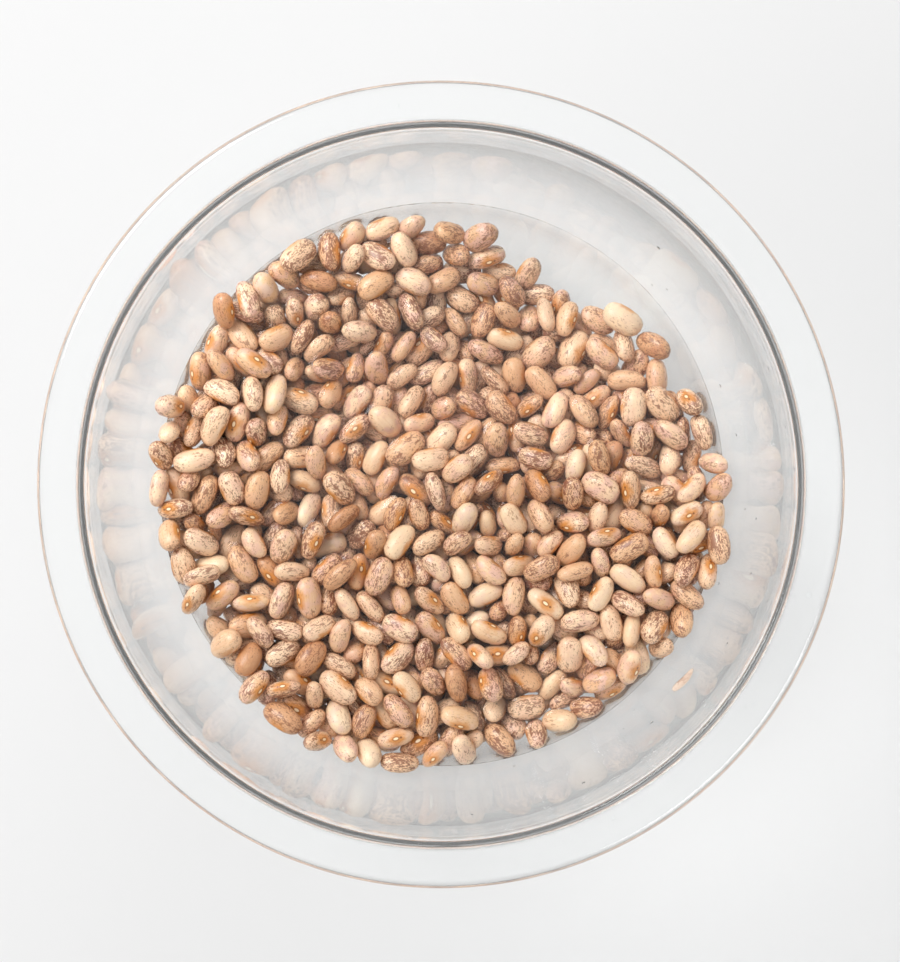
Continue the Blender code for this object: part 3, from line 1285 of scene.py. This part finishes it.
@dataclass
class Pool:
    """The water: level between the beans, and drawn up a little wherever it meets them."""

    bed: BeanBed
    level: float
    into_wall: float = 0.0002
    edge_into_wall: float = 0.00004
    climb: float = 0.0011
    climb_reach: float = 0.0017
    cell: float = 0.0006
    half_side: float = 0.105
    dry_margin: float = 0.0002
    steps: int = 236
    side_rings: int = 36
    rounds: int = 160

    def rise(self) -> tuple[np.ndarray, np.ndarray]:
        """Work out how far the water stands above its level, on a square grid.

        Returns:
            The grid's places along one side, and the rise at each place.
        """
        places = np.arange(-self.half_side, self.half_side, self.cell)
        tops = self.bed.top_heights(places, places)
        x, y = np.meshgrid(places, places, indexing="ij")
        outside = np.hypot(x, y) > self.bed.cavity.radius_at(self.level + self.climb)
        held = outside | (tops > self.level + self.dry_margin)
        want = np.where(held, np.clip(tops - self.level, 0.0, self.climb), 0.0)
        want[outside] = self.climb
        drop = 1 / (4 + (self.cell / self.climb_reach) ** 2)
        rise = want.copy()
        for _ in range(self.rounds):
            around = np.zeros_like(rise)
            around[1:-1, 1:-1] = rise[2:, 1:-1] + rise[:-2, 1:-1] + rise[1:-1, 2:] + rise[1:-1, :-2]
            rise = np.where(held, want, around * drop)
        return places, rise

    def surface(self, edge_radius: float) -> np.ndarray:
        """The water's surface: a square grid drawn out to a disc, lifted by the rise.

        Args:
            edge_radius: the disc's radius.

        Returns:
            The grid's points, row by row.
        """
        places, rise = self.rise()
        side = np.linspace(-1.0, 1.0, self.steps + 1)
        u, v = np.meshgrid(side, side, indexing="ij")
        x = u * np.sqrt(1 - v * v / 2) * edge_radius
        y = v * np.sqrt(1 - u * u / 2) * edge_radius
        i = np.clip((x - places[0]) / self.cell, 0, len(places) - 1.001)
        j = np.clip((y - places[0]) / self.cell, 0, len(places) - 1.001)
        a, b = i.astype(int), j.astype(int)
        s, t = i - a, j - b
        lift = (rise[a, b] * (1 - s) + rise[a + 1, b] * s) * (1 - t)
        lift += (rise[a, b + 1] * (1 - s) + rise[a + 1, b + 1] * s) * t
        return np.column_stack([x.ravel(), y.ravel(), (self.level + lift).ravel()])

    def build(self) -> bpy.types.Object:
        """Build the water as one closed body that reaches just into the wall.

        Returns:
            The water.
        """
        cavity = self.bed.cavity
        edge_height = self.level + self.climb
        top = self.surface(float(cavity.radius_at(edge_height)) + self.edge_into_wall)
        n = self.steps
        count = n + 1
        faces = []
        for row in range(n):
            for column in range(n):
                corner = row * count + column
                faces.append((corner, corner + count, corner + count + 1, corner + 1))
        rim = [column * count for column in range(n)]
        rim += [n * count + row for row in range(n)]
        rim += [(n - row) * count + n for row in range(n)]
        rim += [n - column for column in range(n)]
        angle = np.arctan2(top[rim, 1], top[rim, 0])
        share = np.linspace(0.0, 1.0, cavity.curve_steps)
        wall = cavity.curve(share)
        reach = float(np.interp(edge_height, wall[:, 1], share))
        points = [top]
        previous = rim
        total = len(top)
        for step in range(self.side_rings - 1, 0, -1):
            outset = min(self.into_wall, self.edge_into_wall * (self.side_rings - step + 1))
            radius, height = cavity.curve(np.array([reach * step / self.side_rings]), outset)[0]
            ring = np.column_stack([radius * np.cos(angle), radius * np.sin(angle), 0 * angle + height])
            points.append(ring)
            current = list(range(total, total + len(ring)))
            total += len(ring)
            for k in range(len(ring)):
                after = (k + 1) % len(ring)
                faces.append((previous[k], current[k], current[after], previous[after]))
            previous = current
        points.append(np.array([[0.0, 0.0, cavity.floor - self.into_wall]]))
        for k in range(len(previous)):
            faces.append((previous[k], total, previous[(k + 1) % len(previous)]))
        water = mesh_object("pool_of_water", np.vstack(points), faces)
        ends = np.empty(2 * len(water.data.edges), dtype=np.int32)
        water.data.edges.foreach_get("vertices", ends)
        crease = np.isin(ends.reshape(-1, 2), rim).all(1)
        water.data.attributes.new("sharp_edge", "BOOLEAN", "EDGE").data.foreach_set("value", crease)
        water.data.materials.append(STILL_WATER.material())
        return water


# ---------------------------------------------------------------- small things on the glass


@dataclass
class LooseSkin:
    """A curled sliver of bean skin that clings to the wall, clear of the water."""

    cavity: Cavity
    angle: float = math.radians(-39)
    height: float = 0.056
    half_length: float = 0.0052
    half_width: float = 0.0026
    thickness: float = 0.00018
    curl: float = 0.0009
    along_steps: int = 18
    across_steps: int = 8
    off_wall: float = 0.0002
    waver: float = 0.0006
    pattern_offset: tuple[float, float, float] = (31.0, 7.0, 2.0)
    pattern_mix: tuple[float, float, float] = (0.25, 0.6, 0.2)

    def sheet(self, lift: float) -> tuple[np.ndarray, np.ndarray]:
        """A curled sheet of points over the wall.

        Args:
            lift: how far the sheet is from the wall where it is nearest.

        Returns:
            The points, and the place of each on the sliver from -1 to 1 each way.
        """
        share = np.linspace(0.0, 1.0, 2000)
        wall = self.cavity.curve(share)
        run = np.concatenate([[0.0], np.cumsum(np.linalg.norm(np.diff(wall, axis=0), axis=1))])
        middle = np.interp(self.height, wall[:, 1], run)
        radius = float(self.cavity.radius_at(self.height))
        points, places = [], []
        for u in np.linspace(-1.0, 1.0, self.along_steps):
            girth = self.half_width * math.sqrt(max(1 - abs(u) ** 2.4, 0.01))
            for v in np.linspace(-1.0, 1.0, self.across_steps):
                there = np.interp(middle + v * girth + self.waver * math.sin(2 * u), run, share)
                away = lift + self.curl * (0.55 * v * v + 0.6 * u * u + 0.25 * u * v)
                spot = self.cavity.curve(np.array([there]), -away)[0]
                angle = self.angle + u * self.half_length / radius
                points.append((spot[0] * math.cos(angle), spot[0] * math.sin(angle), spot[1]))
                places.append((0.8 * u, 0.9, 0.5 * v))
        return np.array(points), np.array(places)

    def build(self) -> bpy.types.Object:
        """Build the sliver as a thin closed body.

        Returns:
            The sliver.
        """
        upper, places = self.sheet(self.off_wall + self.thickness)
        lower, _ = self.sheet(self.off_wall)
        count = len(upper)
        wide = self.across_steps
        faces = []
        for row in range(self.along_steps - 1):
            for column in range(wide - 1):
                corner = row * wide + column
                face = (corner, corner + wide, corner + wide + 1, corner + 1)
                faces.append(face)
                faces.append(tuple(count + k for k in reversed(face)))
        rim = list(range(wide - 1))
        rim += [row * wide + wide - 1 for row in range(self.along_steps - 1)]
        rim += [count - 1 - column for column in range(wide - 1)]
        rim += [count - wide - row * wide for row in range(self.along_steps - 1)]
        for k, here in enumerate(rim):
            after = rim[(k + 1) % len(rim)]
            faces.append((here, after, count + after, count + here))
        skin = mesh_object("loose_skin", np.vstack([upper, lower]), faces)
        give_values(skin.data, "bean_at", "FLOAT_VECTOR", np.vstack([places, places]))
        for label, values in (("bean_seed", self.pattern_offset), ("bean_mix", self.pattern_mix)):
            give_values(skin.data, label, "FLOAT_VECTOR", np.tile(values, (2 * count, 1)))
        skin.data.materials.append(SHED_SKIN.material())
        return skin


@dataclass
class WaterDrops:
    """Small drops of water on the wall and on the flat rim."""

    bowl: GlassBowl
    seed: int = 8
    wall_count: int = 16
    rim_count: int = 7
    side: float = math.radians(-15)
    wall_spread: float = 0.7
    wall_band: tuple[float, float] = (0.62, 0.86)
    rim_side: float = math.radians(-20)
    rim_spread: float = 0.8
    radius: tuple[float, float] = (0.00035, 0.0010)
    wall_size: float = 0.8
    rim_size: float = 1.2
    sink: float = 0.12
    bulge: float = 0.3
    around: int = 12
    rings: int = 4

    def spots(self) -> tuple[np.ndarray, np.ndarray, np.ndarray]:
        """Choose where the drops are, mostly towards the bowl's right side.

        Returns:
            The place, the outward direction and the radius of each drop.
        """
        rng = np.random.default_rng(self.seed)
        cavity = self.bowl.cavity
        places, ways, sizes = [], [], []
        for _ in range(self.wall_count):
            angle = rng.normal(self.side, self.wall_spread)
            share = np.array([rng.uniform(*self.wall_band)])
            on_wall = cavity.curve(share)[0]
            inward = cavity.curve(share, -self.radius[1])[0] - on_wall
            way = inward / np.linalg.norm(inward)
            places.append((on_wall[0] * math.cos(angle), on_wall[0] * math.sin(angle), on_wall[1]))
            ways.append((way[0] * math.cos(angle), way[0] * math.sin(angle), way[1]))
            sizes.append(rng.uniform(*self.radius) * self.wall_size)
        low = cavity.radius + 2 * self.bowl.mouth_fillet
        high = self.bowl.rim_radius - self.bowl.rim_thickness / 2
        for _ in range(self.rim_count):
            angle = rng.normal(self.rim_side, self.rim_spread)
            radius = rng.uniform(low, high)
            places.append((radius * math.cos(angle), radius * math.sin(angle), self.bowl.rim_height))
            ways.append((0.0, 0.0, 1.0))
            sizes.append(rng.uniform(*self.radius) * self.rim_size)
        return np.array(places), np.array(ways), np.array(sizes)

    def dome(self) -> bpy.types.Object:
        """One drop of radius 1: a low dome with a flat underside just below its foot.

        Returns:
            The drop.
        """
        angle = 2 * math.pi * np.arange(self.around) / self.around
        circle = np.column_stack([np.cos(angle), np.sin(angle), np.zeros(self.around)])
        rings = [0 * circle - (0, 0, self.sink), circle - (0, 0, self.sink)]
        for ring in range(1, self.rings):
            lean = math.pi / 2 * ring / self.rings
            rings.append(math.cos(lean) * circle + (0, 0, self.bulge * math.sin(lean)))
        rings.append(0 * circle + (0, 0, self.bulge))
        drop = ringed_body("drop_form", rings)
        drop.data.set_sharp_from_angle(angle=math.radians(50))
        return drop

    def placing_tree(self) -> bpy.types.NodeTree:
        """The tree that sets a drop at each point, standing along the point's own direction.

        Returns:
            The tree.
        """
        inputs = {"Drop": "NodeSocketObject", "Finish": "NodeSocketMaterial"}
        s, given, result = geometry_tree("set_drops", inputs)
        form = s.add("GeometryNodeObjectInfo", {"Object": given.outputs["Drop"]})
        way = s.add("GeometryNodeInputNamedAttribute", {"Name": "way"}, data_type="FLOAT_VECTOR")
        size = s.add("GeometryNodeInputNamedAttribute", {"Name": "radius"}, data_type="FLOAT")
        turn = s.add("FunctionNodeAlignRotationToVector", {"Vector": way.outputs[0]}, axis="Z")
        sockets = {
            "Points": given.outputs["Geometry"],
            "Instance": form.outputs["Geometry"],
            "Rotation": turn,
            "Scale": size.outputs[0],
        }
        placed = s.add("GeometryNodeInstanceOnPoints", sockets)
        return s.end(result, placed, given.outputs["Finish"], ("way", "radius"))

    def build(self) -> bpy.types.Object:
        """Build the drops.

        Returns:
            The drops, as one piece.
        """
        places, ways, sizes = self.spots()
        points = mesh_object("drop_places", places, [])
        give_values(points.data, "way", "FLOAT_VECTOR", ways)
        give_values(points.data, "radius", "FLOAT", sizes)
        drop = self.dome()
        values = {"Drop": drop, "Finish": STILL_WATER.material()}
        drops = bake_tree("water_drops", points, self.placing_tree(), values)
        bpy.data.objects.remove(drop, do_unlink=True)
        return drops


# ---------------------------------------------------------------- floor, light and camera


@dataclass(frozen=True)
class Studio:
    """A pale top, soft light from the upper left, and a camera that looks straight down."""

    camera_height: float = 0.812
    camera_offset: tuple[float, float] = (0.0029, 0.0011)
    lens: float = 81.9
    key_place: tuple[float, float, float] = (-1.1, 1.0, 1.5)
    key_size: float = 1.1
    key_watts: float = 31.0
    sky: float = 0.72

    def build(self) -> None:
        """Build the floor, the light and the camera."""
        scene = bpy.context.scene
        scene.view_settings.view_transform = "Standard"
        side = 4.0
        corners = np.array([(-side, -side, 0), (side, -side, 0), (side, side, 0), (-side, side, 0)])
        floor = mesh_object("pale_floor", corners, [(0, 1, 2, 3)])
        floor.data.materials.append(PaleTop().material())
        world = bpy.data.worlds.new("soft_room")
        world.use_nodes = True
        world.node_tree.nodes["Background"].inputs["Color"].default_value = (1.0, 1.0, 1.0, 1.0)
        world.node_tree.nodes["Background"].inputs["Strength"].default_value = self.sky
        scene.world = world
        lamp = bpy.data.lights.new("window", "AREA")
        lamp.energy = self.key_watts
        lamp.size = self.key_size
        key = bpy.data.objects.new("window", lamp)
        key.location = self.key_place
        key.rotation_euler = (-key.location).to_track_quat("-Z", "Y").to_euler()
        scene.collection.objects.link(key)
        lens = bpy.data.cameras.new("overhead")
        lens.lens = self.lens
        lens.sensor_width = 36.0
        camera = bpy.data.objects.new("overhead", lens)
        camera.location = (*self.camera_offset, self.camera_height)
        scene.collection.objects.link(camera)
        scene.camera = camera


def main() -> None:
    """Build the bowl, the beans, the water and the studio, in that order."""
    logging.basicConfig(level=logging.INFO, format="%(message)s")
    _, bowl_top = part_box("glass_bowl")
    heap_low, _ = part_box("bean_heap")
    _, water_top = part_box("water")
    cavity = Cavity(
        radius=bowl_top[0] - RIM_WIDTH,
        top=bowl_top[2] - GlassBowl.mouth_fillet,
        floor=heap_low[2] - RESTING_GAP,
    )
    Studio().build()
    bowl = GlassBowl(bowl_top[0], bowl_top[2], cavity)
    hand_over(bowl.build(), "clear_glass", "glass_bowl")
    bed = BeanBed(cavity)
    bed.settle()
    heap = BeanHeap(bed)
    for piece in heap.build():
        hand_over(piece, "bean_skins", "bean_heap")
    hand_over(heap.build_core(), "bean_skins", "bean_heap")
    hand_over(Pool(bed, water_top[2]).build(), "clear_water", "water")
    hand_over(LooseSkin(cavity).build(), "bean_skins")
    hand_over(WaterDrops(bowl).build(), "clear_water")


if __name__ == "__main__":
    main()
